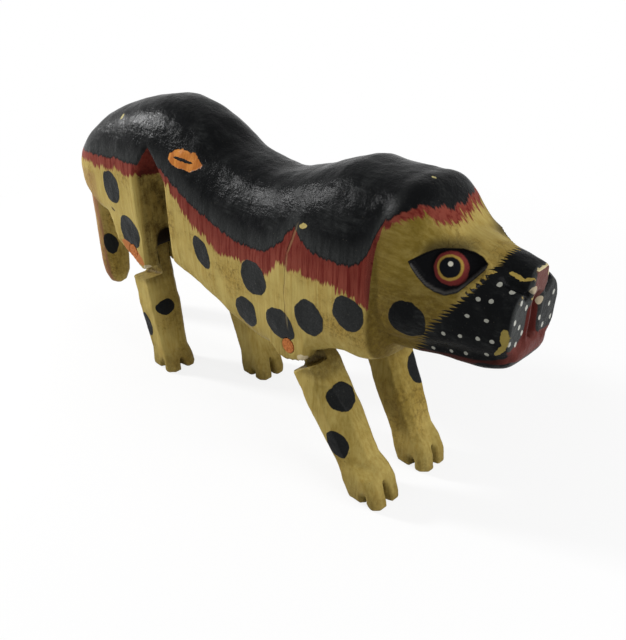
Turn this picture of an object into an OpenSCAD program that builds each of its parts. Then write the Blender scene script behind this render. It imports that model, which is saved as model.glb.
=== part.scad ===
// Jointed wooden animal: a spotted cat carved from one block, with four lapped legs
// that swing on wooden dowels and a pegged tail.
// X runs from the tail to the nose, Y to the animal's left, and Z up from the ground.

/* [Carved block] */
// Width across the haunches and shoulders
block_w = 62; // [60:1:66]
// Height of the rump above the ground
rump_h = 171; // [167:1:175]
// Width of the head across the cheeks
head_w = 58; // [54:1:60]

/* [Leg joints] */
// Diameter of the dowels that the legs swing on
pin_d = 8; // [7:0.5:9]
// Radial play of a leg on its dowel
pin_play = 0.08; // [0.04:0.01:0.1]
// Side gap between a leg's lap and the slot that it swings in
lap_gap = 0.3; // [0.2:0.05:0.5]
// Thickness of the cheek outside each lap
cheek_t = 11; // [10:0.5:12]
// Thickness of the web between the laps
web_t = 18; // [17:0.5:20]

/* [Legs] */
// Half depth of a lap, from front to back
lap_r = 9.8; // [9.4:0.1:10]
// Lean of the front right leg at rest, in degrees forward
front_right_lean = 35; // [32:1:38]
// Lean of the front left leg at rest
front_left_lean = 25; // [22:1:28]
// Lean of the hind right leg at rest
hind_right_lean = 11; // [8:1:14]
// Lean of the hind left leg at rest
hind_left_lean = 16; // [13:1:19]

/* [Tail] */
// Diameter of the tail at its root
tail_d = 24; // [22:1:26]
// Diameter of the peg that holds the tail
peg_d = 8; // [6:0.5:10]

/* [Hidden] */

half_w = block_w / 2;
half_head = head_w / 2;
// Lap slot, from the inside of the cheek to the web
slot_out = half_w - cheek_t;
slot_in = web_t / 2;
bore_d = pin_d + 2 * pin_play;
pin_stop = 1.5;
// The stubs stand just inside the widest part of the block
slab_w = half_w - 1.2;

// Joints: dowel axis as X and Z, side, lean at rest, drop to the ledge, room to swing,
// and how far the leg below the ledge stands ahead of its dowel and nearer to the middle
RIGHT = -1;
LEFT = 1;
front_right = [[55.5, 70.5], RIGHT, front_right_lean, 13.2, [-30, 80], 2.5, 0];
front_left = [[70.5, 78], LEFT, front_left_lean, 13.2, [-28, 50], 0, 1];
hind_right = [[-82.5, 78], RIGHT, hind_right_lean, 16.8, [-40, 48], 0, 0];
hind_left = [[-41, 80], LEFT, hind_left_lean, 16.8, [-40, 48], 0, 5];
JOINTS = [front_right, front_left, hind_right, hind_left];

// Stations of the block: X, height of the back, height of the belly, half width,
// roundness of the back and of the belly (2 is round, more is squarer)
torso = [
    [-158, 120, 108, 0.25 * half_w, 2.2, 2.5],
    [-155, 127, 104, 0.46 * half_w, 2.2, 2.8],
    [-149, 132.5, 101, 0.66 * half_w, 2.3, 3],
    [-135, 142, 97, 0.89 * half_w, 2.4, 4],
    [-120, 151.6, 94, 0.99 * half_w, 2.6, 5],
    [-100, rump_h - 9.8, 91, 1.00 * half_w, 2.6, 6],
    [-72, rump_h - 2, 85, 1.00 * half_w, 2.5, 6],
    [-52, rump_h, 79.5, 0.97 * half_w, 2.4, 6],
    [-27, 164.5, 74, 0.95 * half_w, 2.4, 6],
    [-8, 154, 69, 0.95 * half_w, 2.5, 6],
    [9, 150.3, 63.6, 0.96 * half_w, 2.55, 6],
    [27, 149, 60.6, 0.97 * half_w, 2.6, 6],
    [50, 155, 61, 1.00 * half_w, 2.6, 6],
    [68, 162, 68, 1.00 * half_w, 2.6, 5],
    [80, 166, 74, 1.00 * half_w, 2.6, 4.5],
    [95, 165.8, 77, 0.99 * half_w, 2.7, 4],
    [104, 165.6, 79.5, 0.95 * half_w, 2.8, 4],
    [109, 165, 84, 0.90 * half_w, 2.8, 3.5],
    [111.5, 159, 92, 0.77 * half_w, 2.8, 3.5]
];

// Stations of the head, from inside the neck to the front of the muzzle pads
head = [
    [98, 155, 104, 0.76 * half_head, 3, 4],
    [106, 163.5, 97, 0.93 * half_head, 3, 4],
    [111, 166, 95, 0.97 * half_head, 3, 4],
    [115, 166.2, 95, 0.965 * half_head, 3, 4],
    [119, 165, 95.5, 0.94 * half_head, 2.8, 4],
    [124, 160.6, 96.5, 0.90 * half_head, 2.8, 4],
    [131, 152, 98, 0.84 * half_head, 3, 4],
    [138, 146.5, 99.5, 0.78 * half_head, 3.8, 4],
    [146, 143, 101, 0.72 * half_head, 4, 4],
    [154, 139.5, 102, 0.66 * half_head, 3.6, 4],
    [161, 136.6, 103, 0.61 * half_head, 3.3, 3.8],
    [164.5, 135.4, 104, 0.59 * half_head, 3.1, 3.6],
    [166.6, 133.8, 105.5, 0.57 * half_head, 3, 3.3]
];

// Stations of the nose ridge, which stands above the muzzle
nose = [
    [124, 152, 120, 18, 3, 3],
    [134, 149, 120, 15, 3, 3],
    [146, 146, 122, 11, 3, 3],
    [158, 144, 124, 7.8, 3.2, 3],
    [163, 143, 126, 6.4, 3.6, 3],
    [167, 142, 129, 5.4, 3.8, 3]
];

// Stations of the lower jaw, under the muzzle pads
jaw = [
    [104, 110, 88.5, 20, 3, 4],
    [120, 108, 91, 19, 3, 4],
    [135, 107, 93.6, 17.5, 3, 4],
    [150, 107.5, 95, 16.5, 3, 3.6],
    [158, 109, 96, 15.5, 3, 3.2],
    [163, 110.5, 97.4, 14.2, 3, 2.9],
    [166, 111, 99.8, 12.8, 2.8, 2.6],
    [167.4, 110, 102.5, 11, 2.6, 2.5]
];

// Groove between the muzzle pads: width, depth, and how far up and down it runs
lip = head[len(head) - 1][0];
lip_groove = [9, 5];
lip_run = [110.5, 131];

// Side outlines of the stubs that hang below the block and hold the dowels
shoulder_stub = [[36, 90], [42, 66], [47, 62], [52.5, 61], [66.5, 66], [68.5, 81], [76, 92]];
stub_step = front_left[0] - front_right[0];
// Front edge of each thigh, ahead of its dowel
thigh_lead = 12.5;
right_edge = hind_right[0][0] + thigh_lead;
left_edge = hind_left[0][0] + thigh_lead;
function thigh(edge, back) = concat([[-116, 130]], back,
    [[edge - 29.5, 80.5], [edge - 3.5, 68], [edge, 70], [edge, 130]]);

// Notch between a thigh and the flank, ahead of the thigh's edge: its peak and its far edge
notch_peak = [14, 152];
notch_far = [30, 132];
notch_low = 66;

// Leg stations below the dowel: distance, half width, half depth, forward shift
leg_rows = [
    [0, 10.85, lap_r, 0.6],
    [16, 10.85, 10.2, 0.8],
    [40, 9.8, 9.8, 0.8],
    [60, 8.8, 9.2, 0.6],
    [67, 8.6, 9, 0.6],
    [75, 9.6, 10.4, 1.4],
    [82, 9.9, 10.5, 1.5],
    [90, 9.6, 9.4, 0.4],
    [100, 9, 7, -2]
];
leg_chamfer = 3;
// Cuts between the four toes, one in front and one on each side: place ahead of the leg's middle
// line and out from it, half width and depth at the sole, and height
toe_cuts = [[14, 0, 4.2, 12.5, 13], [2, 11.5, 3.3, 7, 11]];

// Centre line of the tail in the side view, with its share of the root diameter
tail_line = [
    [-146, 120, 1.00],
    [-155, 115, 0.96],
    [-160.5, 104, 0.88],
    [-162, 88, 0.82],
    [-162, 64, 0.82],
    [-162, 40, 0.84],
    [-162, 28, 0.76],
    [-162, 21, 0.52],
    [-162, 18.5, 0.22]
];
tail_flat = 0.95;
tail_slope = 28;
// Room in the seat for the bend below the root
tail_drop = 8;
peg_l = 28;

// The stations count from the middle of the block, and the figure moves so that its box is centred
middle_x = 2.1;

wood = [0.62, 0.56, 0.34];
bare_wood = [0.66, 0.38, 0.20];

// Value of column k at x on a smooth curve through the stations
function span(rows, x, i = 0) = i >= len(rows) - 2 || x < rows[i + 1][0] ? i : span(rows, x, i + 1);
function slope(rows, k, i) =
    let (a = max(i - 1, 0), b = min(i + 1, len(rows) - 1))
    (rows[b][k] - rows[a][k]) / (rows[b][0] - rows[a][0]);
function along(rows, k, x) =
    let (i = span(rows, x), h = rows[i + 1][0] - rows[i][0], t = (x - rows[i][0]) / h)
    (1 + 2 * t) * (1 - t) * (1 - t) * rows[i][k] + t * (1 - t) * (1 - t) * h * slope(rows, k, i)
    + t * t * (3 - 2 * t) * rows[i + 1][k] - t * t * (1 - t) * h * slope(rows, k, i + 1);

// Rounded square in the Y and Z of one station, flatter at the belly than on the back
function bent(v, n) = sign(v) * pow(abs(v), 2 / n);
function ring(x, top, low, half, n_top, n_low, count) =
    let (mid = low + 0.46 * (top - low))
    [for (i = [0 : count - 1])
        let (a = 360 * i / count, n = sin(a) > 0 ? n_top : n_low)
        [x, half * bent(cos(a), n), mid + (sin(a) > 0 ? top - mid : mid - low) * bent(sin(a), n)]];

// Closed skin over rings of equal count, wound from the first ring to the last
module skin(rings) {
    m = len(rings);
    n = len(rings[0]);
    sides = [for (j = [0 : m - 2], i = [0 : n - 1], f = [0, 1])
        let (k = (i + 1) % n)
        f == 0 ? [j * n + k, j * n + i, (j + 1) * n + k] : [(j + 1) * n + k, j * n + i, (j + 1) * n + i]];
    near = [for (i = [0 : n - 1]) i];
    far = [for (i = [0 : n - 1]) m * n - 1 - i];
    polyhedron([for (r = rings) each r], concat(sides, [near, far]), convexity = 8);
}

module lofted(rows, step, count) {
    first = rows[0][0];
    last = rows[len(rows) - 1][0];
    steps = ceil((last - first) / step);
    skin([for (j = [0 : steps])
        let (x = first + (last - first) * j / steps, v = [for (k = [1 : 5]) along(rows, k, x)])
        ring(x, v[0], v[1], v[2], v[3], v[4], count)]);
}

// Side outline in X and Z, extruded between two Y values
module slab(outline, y0, y1) {
    translate([0, y1, 0]) rotate([90, 0, 0]) linear_extrude(y1 - y0) polygon(outline);
}

// Side outline between two distances from the middle, on one side
module side_slab(outline, near, far, side) {
    slab(outline, side > 0 ? near : -far, side > 0 ? far : -near);
}

// Wedge between a thigh and the flank, narrow at the web and wide at the outside
module notch(edge, side) {
    inner = [[edge, notch_low], [edge, 118], [edge + 6, 126], [edge + 12, 116], [edge + 12, notch_low]];
    outer = [[edge, notch_low], [edge, 130], [edge + notch_peak[0], notch_peak[1]],
             [edge + notch_far[0], notch_far[1]], [edge + notch_far[0], notch_low]];
    hull() {
        side_slab(outer, half_w, half_w + 6, side);
        side_slab(inner, slot_in, slot_in + 1, side);
    }
}

module carved_head() {
    difference() {
        union() {
            lofted(head, 4, 36);
            lofted(nose, 4, 24);
            lofted(jaw, 4, 28);
        }
        translate([0, 0, lip_run[0]]) linear_extrude(lip_run[1] - lip_run[0])
            polygon([[lip + 2, -lip_groove[0] / 2], [lip + 2, lip_groove[0] / 2], [lip - lip_groove[1], 0]]);
    }
}

module carved_block() {
    resize([0, 0, 0]) difference() {
        union() {
            lofted(torso, 5, 44);
            carved_head();
            side_slab(shoulder_stub, 0, slab_w, RIGHT);
            side_slab([for (p = shoulder_stub) p + stub_step], 0, slab_w, LEFT);
            side_slab(thigh(right_edge, [[-116, 112], [right_edge - 32.5, 91]]), 0, slab_w, RIGHT);
            side_slab(thigh(left_edge, [[-108, 108], [left_edge - 35.5, 90]]), 0, slab_w, LEFT);
        }
        notch(right_edge, RIGHT);
        notch(left_edge, LEFT);
        for (joint = JOINTS) lap_slot(joint);
        shoulder_room(front_left);
        tail_seat();
    }
}

// Slot that a lap turns in: round above the dowel, open below it over the whole swing
module lap_slot(joint) {
    r = lap_r + 1;
    reach = 60;
    back = joint[4][0];
    fore = joint[4][1];
    arc = [for (i = [0 : 12]) let (a = fore + (180 + back - fore) * i / 12) r * [cos(a), sin(a)]];
    at_pivot(joint) side_slab(concat(arc, [
        arc[12] + reach * [sin(back), -cos(back)],
        [0, -2 * reach],
        arc[0] + reach * [sin(fore), -cos(fore)]
    ]), slot_in, slot_out, joint[1]);
}

// Hollow under the flank that the shoulder of a leg passes through, round about the dowel
module shoulder_room(joint) {
    r = joint[3] - 0.6;
    reach = 60;
    back = joint[4][0] - 48;
    fore = joint[4][1] + 48;
    arc = [for (i = [0 : 12]) let (a = back + (fore - back) * i / 12) r * [sin(a), -cos(a)]];
    at_pivot(joint) side_slab(concat(arc, [
        arc[12] + reach * [sin(joint[4][1]), -cos(joint[4][1])],
        [0, -2 * reach],
        arc[0] + reach * [sin(joint[4][0]), -cos(joint[4][0])]
    ]), slot_out - 1, half_w + 2, joint[1]);
}

// Round rod along Y between two distances from the middle, on one side
module dowel(d, near, far, side) {
    translate([0, side > 0 ? far : -near, 0]) rotate([90, 0, 0]) cylinder(h = far - near, d = d, $fn = 64);
}

module at_pivot(joint) {
    translate([joint[0][0], 0, joint[0][1]]) children();
}

module body() {
    color(wood) difference() {
        carved_block();
        for (joint = JOINTS) at_pivot(joint) dowel(pin_d, pin_stop, half_w + 2, joint[1]);
        tail_bore();
    }
}

// How far a leg has drawn in towards the middle at a distance below its dowel
function set_in(joint, s) = -joint[1] * joint[6] * min(1, max(0, (s - 16) / 24));

function octagon(row, ahead, aside) =
    let (w = row[1], d = row[2], c = leg_chamfer)
    let (right = [[w - c, d], [w, d - c], [w, c - d], [w - c, -d]])
    [for (p = concat(right, -right)) [row[3] + ahead - p[1], p[0] + aside, -row[0]]];

// A leg about its dowel, leaning forward as at rest, with its sole on the ground
module leg(joint) {
    lap_in = slot_in + lap_gap;
    lap_out = slot_out - lap_gap;
    mid_y = joint[1] * (half_w + lap_in) / 2;
    difference() {
        at_pivot(joint) rotate([0, -joint[2], 0]) difference() {
            union() {
                translate([0, mid_y, 0]) skin([for (row = leg_rows)
                    octagon(row, row[0] > joint[3] ? joint[5] : 0, set_in(joint, row[0]))]);
                dowel(2 * lap_r, lap_in, lap_out, joint[1]);
            }
            translate([-30, joint[1] > 0 ? lap_out : -lap_out - 30, -joint[3]]) cube([60, 30, 60]);
            dowel(bore_d, 0, half_w + 5, joint[1]);
            translate([joint[5], mid_y + set_in(joint, 90), 0]) {
                toe_notch(joint, toe_cuts[0], 0);
                toe_notch(joint, toe_cuts[1], -90);
                toe_notch(joint, toe_cuts[1], 90);
            }
        }
        translate([joint[0][0] - 100, -100, -60]) cube([200, 200, 60]);
    }
}

// Cut between two toes, turned to face ahead or aside, which opens and deepens towards the sole
module toe_notch(joint, cut, turn) {
    sole = (joint[0][1] + (cut[0] + joint[5]) * sin(joint[2])) / cos(joint[2]);
    translate([cut[0], sign(turn) * cut[1], 0]) rotate([0, 0, turn]) hull() {
        translate([0, 0, -sole - cut[4] - 1]) linear_extrude(cut[4])
            polygon([[0, -cut[2]], [0, cut[2]], [-cut[3], 0]]);
        translate([0, 0, cut[4] - sole]) linear_extrude(0.1) polygon([[0, -0.3], [0, 0.3], [-0.5, 0]]);
    }
}

module leg_front_right() { color(wood) leg(front_right); }
module leg_front_left() { color(wood) leg(front_left); }
module leg_hind_right() { color(wood) leg(hind_right); }
module leg_hind_left() { color(wood) leg(hind_left); }

module pin(joint) {
    color(bare_wood) at_pivot(joint) dowel(pin_d, pin_stop, slab_w, joint[1]);
}

module pin_front_right() { pin(front_right); }
module pin_front_left() { pin(front_left); }
module pin_hind_right() { pin(hind_right); }
module pin_hind_left() { pin(hind_left); }

// Seat of the tail: its root meets the rump on a plane across the peg
module at_root() {
    translate([tail_line[0][0], 0, tail_line[0][1]]) rotate([0, -90 - tail_slope, 0]) children();
}

module tail_seat() {
    at_root() hull() {
        cylinder(h = 40, d = tail_d + 1, $fn = 64);
        translate([-tail_drop, 0, tail_drop]) cylinder(h = 40, d = tail_d + 1, $fn = 64);
    }
}

module tail_bore() {
    at_root() translate([0, 0, -peg_l / 2]) cylinder(h = peg_l, d = peg_d, $fn = 48);
}

module tail_peg() { color(bare_wood) tail_bore(); }

function tail_way(i) =
    let (a = tail_line[max(i - 1, 0)], b = tail_line[min(i + 1, len(tail_line) - 1)])
    let (d = [b[0] - a[0], b[1] - a[1]])
    i == 0 ? [-cos(tail_slope), -sin(tail_slope)] : d / norm(d);

module tail() {
    count = 20;
    rings = [for (i = [0 : len(tail_line) - 1])
        let (p = tail_line[i], way = tail_way(i), r = tail_d / 2 * p[2])
        [for (j = [0 : count - 1])
            let (a = 360 * j / count, u = r * tail_flat * cos(a))
            [p[0] + u * way[1], r * sin(a), p[1] - u * way[0]]]];
    color(wood) difference() {
        skin(rings);
        tail_bore();
    }
}

module placed() {
    translate([middle_x, 0, 0]) children();
}

placed() body();
placed() leg_front_right();
placed() leg_front_left();
placed() leg_hind_right();
placed() leg_hind_left();
placed() pin_front_right();
placed() pin_front_left();
placed() pin_hind_right();
placed() pin_hind_left();
placed() tail();
placed() tail_peg();
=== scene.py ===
# %% [markdown]
# # A carved and painted wooden animal with swinging legs
# The real figure is whittled from wood with a knife, painted by hand with black, red, yellow and white, and
# handled until its edges wear. The solids come from the workshop drawing. This lesson dresses them: it rounds
# and carves the wood, then paints it.

# %% Load the solids
import math

import bpy
import numpy as np
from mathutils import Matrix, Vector


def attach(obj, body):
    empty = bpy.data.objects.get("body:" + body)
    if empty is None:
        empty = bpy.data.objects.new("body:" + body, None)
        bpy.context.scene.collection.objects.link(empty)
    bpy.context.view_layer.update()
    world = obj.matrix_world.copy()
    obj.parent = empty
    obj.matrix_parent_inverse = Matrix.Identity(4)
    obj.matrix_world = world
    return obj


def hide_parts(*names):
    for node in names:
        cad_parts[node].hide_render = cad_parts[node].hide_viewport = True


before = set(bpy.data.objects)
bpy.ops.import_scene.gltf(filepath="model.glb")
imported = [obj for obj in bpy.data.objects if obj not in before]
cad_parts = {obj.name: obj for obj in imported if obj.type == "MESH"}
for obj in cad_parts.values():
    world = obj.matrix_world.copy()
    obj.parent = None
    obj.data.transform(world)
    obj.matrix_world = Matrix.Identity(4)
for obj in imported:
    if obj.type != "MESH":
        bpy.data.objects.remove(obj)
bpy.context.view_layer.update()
MM = 0.001
print("solids:", sorted(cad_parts))

# %% [markdown]
# ## Small helpers
# An operator works on whatever is selected, so each step first lets go of everything and picks one piece.
# Points are read and written as arrays in millimetres, because the drawing is in millimetres too. The numbers
# below count from the middle of the block's first sketch, which lies a little ahead of the frame's own zero.
# A pair of numbers is mostly a span: ease makes a soft step of it, from 0 at its first end to 1 at its last.

# %% Helpers for picking pieces and moving points
SKETCH_ZERO = np.array([2.1, 0.0, 0.0])
WELD = 0.01
RUB = 0.5
LEAST_RUB = 0.02


def pick(piece):
    bpy.ops.object.select_all(action="DESELECT")
    piece.select_set(True)
    bpy.context.view_layer.objects.active = piece


def switch(mode):
    bpy.ops.object.mode_set(mode=mode)


def apply_modifier(piece, kind, **settings):
    modifier = piece.modifiers.new(kind.lower(), kind)
    for key, value in settings.items():
        setattr(modifier, key, value)
    pick(piece)
    bpy.ops.object.modifier_apply(modifier=modifier.name)


def read(layer, key):
    flat = np.zeros(len(layer) * 3)
    layer.foreach_get(key, flat)
    return flat.reshape(-1, 3)


def points(piece):
    return read(piece.data.vertices, "co") / MM - SKETCH_ZERO


def normals(piece):
    return read(piece.data.vertices, "normal")


def move_points(piece, places):
    piece.data.vertices.foreach_set("co", ((places + SKETCH_ZERO) * MM).ravel())
    piece.data.update()


def ease(value, start, end):
    t = np.clip((value - start) / (end - start), 0, 1)
    return t * t * (3 - 2 * t)


def copy_of(node, name):
    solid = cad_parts[node]
    piece = bpy.data.objects.new(name, solid.data.copy())
    bpy.context.collection.objects.link(piece)
    piece.data.materials.clear()
    pick(piece)
    switch("EDIT")
    bpy.ops.mesh.select_all(action="SELECT")
    bpy.ops.mesh.remove_doubles(threshold=WELD * MM)
    switch("OBJECT")
    return piece


def whittle(piece, chip):
    """Turns a sharp solid into an even skin of small faces, and rounds its edges as a knife and paint do."""
    apply_modifier(piece, "REMESH", mode="VOXEL", voxel_size=chip * MM)
    apply_modifier(piece, "SMOOTH", factor=RUB, iterations=1)
    print(piece.name, "has", len(piece.data.polygons), "faces after whittling")


def soften(piece, weights, rounds):
    """Rubs down only a part of a piece: the weights say how much each point may move."""
    group = piece.vertex_groups.new(name="soften")
    for index in np.nonzero(weights > LEAST_RUB)[0]:
        group.add([int(index)], float(weights[index]), "REPLACE")
    apply_modifier(piece, "SMOOTH", vertex_group="soften", factor=RUB, iterations=rounds)
    piece.vertex_groups.clear()


def knife_marks(piece, size, deep, shave):
    """Moves the skin in soft patches of the given size. A shave of 1 only takes wood off, 0.5 also adds."""
    clouds = bpy.data.textures.new(piece.name + "_marks", "CLOUDS")
    clouds.noise_scale = size * MM
    clouds.noise_depth = 1
    apply_modifier(piece, "DISPLACE", texture=clouds, texture_coords="LOCAL", strength=deep * MM,
                   mid_level=shave)


# %% [markdown]
# ## The carved block
# Torso, neck and head are one piece of wood. The drawing's solid is copied, its loose triangles are joined,
# and a voxel remesh gives it an even skin, so that details can be carved anywhere. The head gets a finer
# skin than the torso, because the face holds the small cuts.

# %% Rough out the block
BLOCK_CHIP = 1.35
FACE_START = 104.0
FACE_RUB = (FACE_START + 4, FACE_START + 8)
block = copy_of("body", "carved_block")
whittle(block, BLOCK_CHIP)
pick(block)
switch("EDIT")
bpy.ops.mesh.select_mode(type="FACE")
bpy.ops.mesh.select_all(action="DESELECT")
switch("OBJECT")
centres = read(block.data.polygons, "center") / MM - SKETCH_ZERO
block.data.polygons.foreach_set("select", centres[:, 0] > FACE_START)
switch("EDIT")
bpy.ops.mesh.subdivide(number_cuts=1, smoothness=0)
switch("OBJECT")
soften(block, ease(points(block)[:, 0], *FACE_RUB), rounds=5)
print("block faces:", len(block.data.polygons))

# %% [markdown]
# ## Crown and knife marks
# Neck and crown run into each other without a step, so the dent between the two rough shapes is filled: each
# point there is lifted to a straight run between the rings behind and before it, and the crown is rubbed
# smooth. Then a cloud texture raises and lowers the whole skin a little, because a knife never leaves a true
# surface.

# %% Fill the crown and leave knife marks
CROWN_BACK = 86.0
CROWN_FRONT = 127.0
CROWN_AXIS = 128.0
CROWN_FOOT = (136.0, 143.0)
RING_WIDE = 1.4
RUB_FOOT = (138.0, 147.0)
RUB_MIDDLE = 105.0
RUB_REACH = (25.0, 13.0)


def ring(angle, radius, along, x):
    near = np.abs(along - x) < RING_WIDE
    order = np.argsort(angle[near])
    return angle[near][order], radius[near][order]


places = points(block)
x, y, z = places.T
upper = z > CROWN_AXIS
angle = np.arctan2(z - CROWN_AXIS, y)
radius = np.hypot(z - CROWN_AXIS, y)
behind = ring(angle[upper], radius[upper], x[upper], CROWN_BACK)
before = ring(angle[upper], radius[upper], x[upper], CROWN_FRONT)
t = np.clip((x - CROWN_BACK) / (CROWN_FRONT - CROWN_BACK), 0, 1)
wanted = (1 - t) * np.interp(angle, *behind) + t * np.interp(angle, *before)
inside = (x > CROWN_BACK) & (x < CROWN_FRONT)
lift = np.where(inside, np.maximum(wanted - radius, 0), 0) * ease(z, *CROWN_FOOT)
y += lift * np.cos(angle)
z += lift * np.sin(angle)
move_points(block, places)
soften(block, ease(z, *RUB_FOOT) * ease(np.abs(x - RUB_MIDDLE), *RUB_REACH), rounds=140)
knife_marks(block, size=11.0, deep=0.9, shave=0.6)
print("deepest dent filled:", round(float(lift.max()), 2), "mm")

# %% [markdown]
# ## The eyes
# Each eye is a flat facet cut across the corner of the face. An almond is sunk into it with a steep upper
# lid and a wide bevelled lower lid, and a low dome is left standing for the eyeball. The cut is a height
# over the facet, so the points are moved along the facet's own direction. Three values are kept for the
# paint: the room to the nearest lid, a painted shadow over the upper lid, and a painted highlight along the
# rounded edge of the lower lid.

# %% Carve the eyes
EYE_FACING = np.array([0.431, -0.849, 0.304])
EYE_ALONG = np.array([0.8715, 0.4794, 0.1033])
EYE_UP = np.cross(EYE_FACING, EYE_ALONG)
EYE_MIDDLE = np.array([136.2, -18.65, 138.85])
EYE_REACH = (22, 18, 8)
EYE_INNER = -4
NO_EYE = -9.0
UPPER_LID = [(-15.9, 0.7), (-8.7, 4.4), (-4.8, 5.8), (-1.4, 6.3), (5.9, 6.2), (10.3, 4.8), (13.2, 3.1),
             (15.4, 0.3)]
LOWER_LID = [(-15.9, 0.7), (-14.1, -2.5), (-11.8, -5.8), (-8.7, -9.2), (-5.1, -11.4), (-0.9, -12.8),
             (4.0, -11.5), (7.6, -8.4), (11.1, -5.3), (14.4, -2.2), (15.4, 0.3)]
UPPER_LEAN = 0.9
LOWER_LEAN = 0.72
HALF_EYE = 15.7
FAR = 99
PUPIL = (0.8, -1.5)
BALL_EDGE = 7.4
BALL_ROUND = 12.0
SOCKET_DEEP = 3.0
UPPER_BEVEL = 1.0
LOWER_BEVEL = 3.0
LID_SKIRT = 3.0
LID_RISE = 0.9
LID_EDGE = (-1.0, 1.0)
# spans of the painted highlight along the lower lid
LID_HIGHLIGHT_IN = (0.3, 0.7)
LID_HIGHLIGHT_OUT = (1.6, 1.0)
LID_HIGHLIGHT_CLEAR = 1.5
# reach of the painted shadow over the upper lid
LID_SHADOW_WIDE = 5.5
LID_SHADOW_LAP = 0.5
LID_SHADOW_ENDS = (15.0, 6.0)
BALL_SUNK = math.sqrt(BALL_ROUND**2 - BALL_EDGE**2)


def lid_height(lid, along):
    us, vs = zip(*lid)
    return np.interp(along, us, vs)


def eye_plan(places, side):
    """Distance along, up and out from the eye's facet, and the room to the nearest lid (negative outside)."""
    away = places * np.array([1, side, 1]) - EYE_MIDDLE
    along, up, out = away @ EYE_ALONG, away @ EYE_UP, away @ EYE_FACING
    above = (lid_height(UPPER_LID, along) - up) * UPPER_LEAN
    below = (up - lid_height(LOWER_LID, along)) * LOWER_LEAN
    ends = HALF_EYE - np.abs(along)
    room = np.minimum(np.minimum(above, below), np.where(ends < 0, ends, FAR))
    return along, up, out, above, below, room


places = points(block)
almond = np.full(len(places), NO_EYE)
lid_shadow = np.zeros(len(places))
lid_highlight = np.zeros(len(places))
for side in (1, -1):
    along, up, out, above, below, room = eye_plan(places, side)
    near = (places[:, 1] * side < EYE_INNER) & (np.abs((along, up, out)).T < EYE_REACH).all(1)
    floor = -SOCKET_DEEP * np.minimum(ease(above, 0, UPPER_BEVEL), ease(below, 0, LOWER_BEVEL))
    radius = np.hypot(along - PUPIL[0], up - PUPIL[1])
    rise = np.sqrt(np.maximum(BALL_ROUND**2 - radius**2, 0)) - BALL_SUNK
    target = np.where(radius < BALL_EDGE, np.maximum(floor, rise - SOCKET_DEEP), floor)
    hold = ease(room, -LID_SKIRT, 0.0)
    shift = np.where(near, np.minimum((target - out) * hold, LID_RISE * ease(room, *LID_EDGE)), 0)
    places += shift[:, None] * EYE_FACING * np.array([1, side, 1])
    almond = np.where(near, np.maximum(almond, room), almond)
    # painted highlight: a pale arc along the rounded edge of the lower lid
    highlight_arc = ease(below, *LID_HIGHLIGHT_IN) * ease(below, *LID_HIGHLIGHT_OUT) * (above > LID_HIGHLIGHT_CLEAR)
    lid_highlight = np.where(near, np.maximum(lid_highlight, highlight_arc), lid_highlight)
    # painted shadow: a soft dark band over the upper lid
    over_lid = near & (up > lid_height(UPPER_LID, along) - LID_SHADOW_LAP)
    lid_shade = ease(room, -LID_SHADOW_WIDE, 0.0) * ease(np.abs(along), *LID_SHADOW_ENDS)
    lid_shadow = np.where(over_lid, lid_shade, lid_shadow)
move_points(block, places)
print("points inside the lids:", int((almond > 0).sum()))

# %% [markdown]
# ## The muzzle
# The muzzle pads end in two flat faces beside the groove under the nose. A knife makes such a face in one
# slice, so points that stand out past the slice are moved back onto it. The right pad is sliced at its side
# too, and the left one and the throat are a little fuller. The nostril is a channel that runs down between
# nose and pad. It is pushed in along the wood's own normals, as with the point of the knife.

# %% Slice the muzzle pads and press in the nostrils
THROAT_DROP = 1.6
THROAT_HEIGHT = (100.0, 88.0)
THROAT_MIDDLE = 112.0
THROAT_REACH = (26.0, 14.0)
LEFT_PAD_SPREAD = 1.2
LEFT_PAD_BACK = (148.0, 158.0)
LEFT_PAD_INNER = (8.0, 14.0)
LEFT_PAD_FOOT = (106.0, 111.0)
PAD_FRONT = 165.9
PAD_FOOT = (107.5, 109.5)
PAD_TOP = (134.5, 132.0)
GROOVE_HALF = 5.6
NOSE_FRONT = 166.6
NOSE_FOOT = (126.0, 128.0)
PAD_SIDE = np.array([0.2, -0.98, 0.0])
PAD_SIDE_SLICE = 49.25
PAD_SIDE_INNER = -5
PAD_SIDE_BACK = (156.0, 160.0)
PAD_SIDE_FOOT = (107.0, 110.0)
NOSTRIL = np.array([(157.0, -12.2, 137.4), (162.2, -9.6, 134.6), (166.2, -6.9, 131.0)])
NOSTRIL_DEEP = 2.3
NOSTRIL_WIDE = (3.0, 0.4)
NOSTRIL_BACK = (154.0, 160.0)
NOSTRIL_INNER = -2


def away_from_line(places, line):
    """Distance from every point to a line of straight runs."""
    best = np.full(len(places), np.inf)
    for start, end in zip(line[:-1], line[1:]):
        run = end - start
        t = np.clip((places - start) @ run / (run @ run), 0, 1)
        best = np.minimum(best, np.linalg.norm(places - start - t[:, None] * run, axis=1))
    return best


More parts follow.
